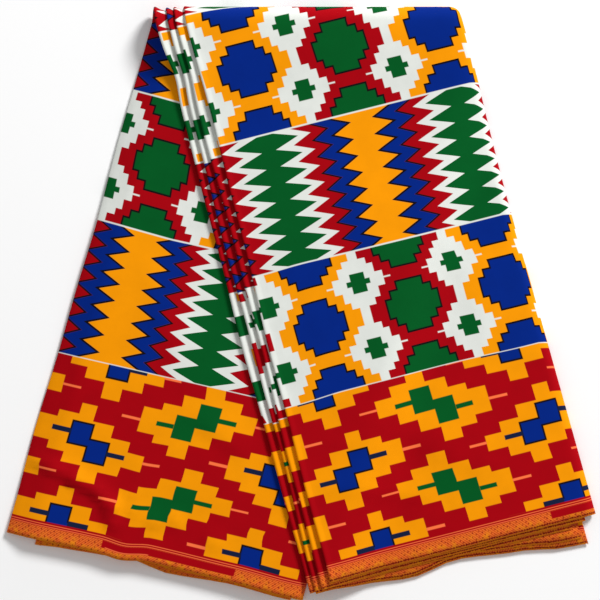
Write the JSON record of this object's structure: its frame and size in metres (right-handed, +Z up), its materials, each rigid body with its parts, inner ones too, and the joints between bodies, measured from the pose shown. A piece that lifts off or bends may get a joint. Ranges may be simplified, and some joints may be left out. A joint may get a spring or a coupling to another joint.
{
  "type": "folded printed cotton cloth",
  "caption": "Length of wax-print cotton folded back and forth into a strip and folded over once, its two legs lying in a narrow V.",
  "frame": {"origin": "bottom centre of the bounding box, on the surface that the cloth lies on", "axes": "+Z up from the surface towards the camera, +Y towards the turn at the picture's top edge, +X to the picture's right"},
  "size_m": [0.5904, 0.5938, 0.0306],
  "materials": {
    "printed_cotton": "matt plain-weave cotton with a red, blue, green, amber and white print"
  },
  "bodies": {
    "root": {"cloth": "printed_cotton"}
  },
  "joints": []
}
